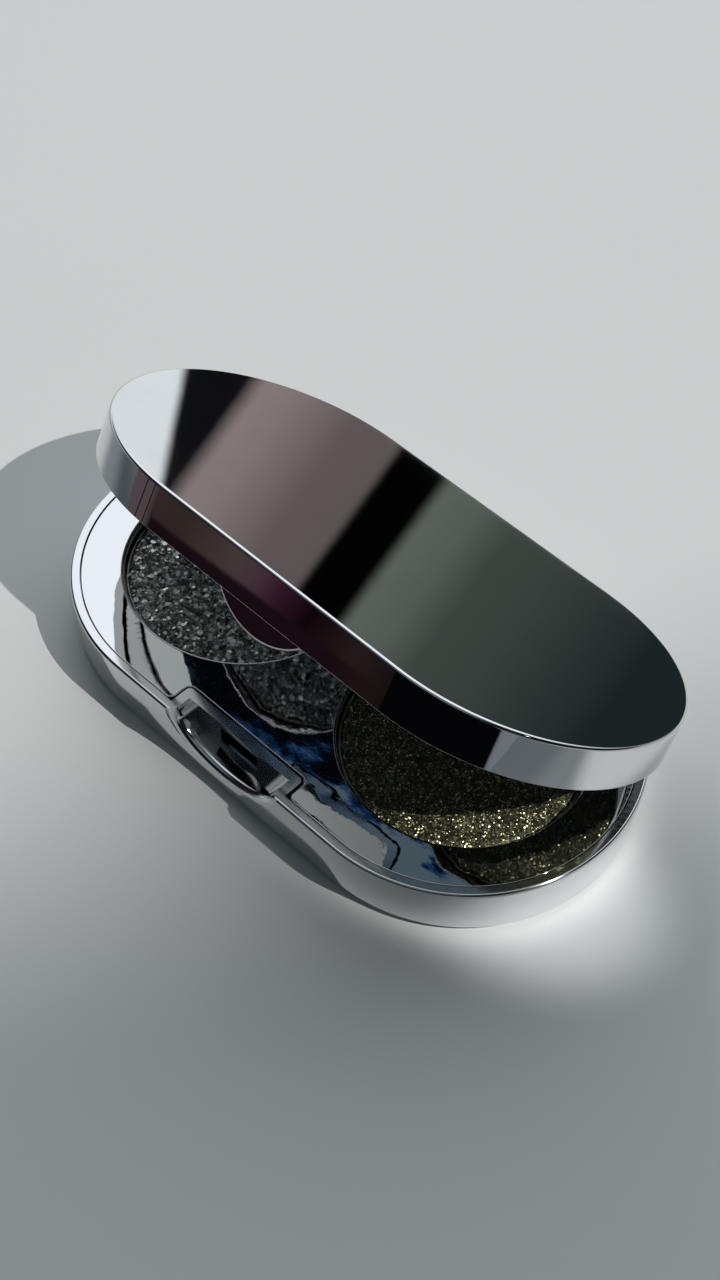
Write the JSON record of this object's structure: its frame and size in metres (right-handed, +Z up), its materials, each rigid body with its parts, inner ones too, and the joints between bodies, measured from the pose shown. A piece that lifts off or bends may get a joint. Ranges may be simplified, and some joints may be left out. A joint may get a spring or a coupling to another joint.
{
  "type": "eyeshadow palette",
  "caption": "Pill-shaped chrome compact with a hinged mirror lid, a thumb tab and latch hook at the front, and round wells that hold pans of pressed glitter eyeshadow.",
  "frame": {"origin": "centre of the flat underside of the base, on the surface that the compact lies on", "axes": "+X along the compact's long axis, +Y towards the hinge, +Z up; the thumb recess faces -Y"},
  "size_m": [0.08, 0.0479, 0.0329],
  "materials": {
    "case_chrome": "mirror-polished chrome plating",
    "deck_chrome": "mirror-polished chrome plating",
    "liner_chrome": "polished chrome plating",
    "pan_metal": "satin drawn metal",
    "glue": "soft translucent adhesive",
    "charcoal_glitter": "pressed coarse charcoal and silver glitter",
    "gold_glitter": "pressed fine olive-gold glitter",
    "pin_steel": "plain drawn steel",
    "tape": "double-sided adhesive sheet",
    "mirror_glass": "silvered glass",
    "hook_plastic": "smooth moulded grey plastic"
  },
  "bodies": {
    "base": {"base_shell": "case_chrome", "deck_tray": "deck_chrome", "left_pan": "pan_metal", "left_pan_glue": "glue", "left_powder": "charcoal_glitter", "hinge_pin_left": "pin_steel", "right_pan": "pan_metal", "right_pan_glue": "glue", "right_powder": "gold_glitter", "hinge_pin_right": "pin_steel"},
    "lid": {"lid_shell": "case_chrome", "lid_liner": "liner_chrome", "mirror_tape": "tape", "mirror": "mirror_glass", "latch_hook": "hook_plastic"}
  },
  "joints": [
    {"name": "lid_hinge", "type": "hinge", "parent": "base", "child": "lid", "pos_m": [0, 0.0206, 0.00515], "axis": [-1, 0, 0], "range_deg": [-27.8, 72.2]}
  ]
}
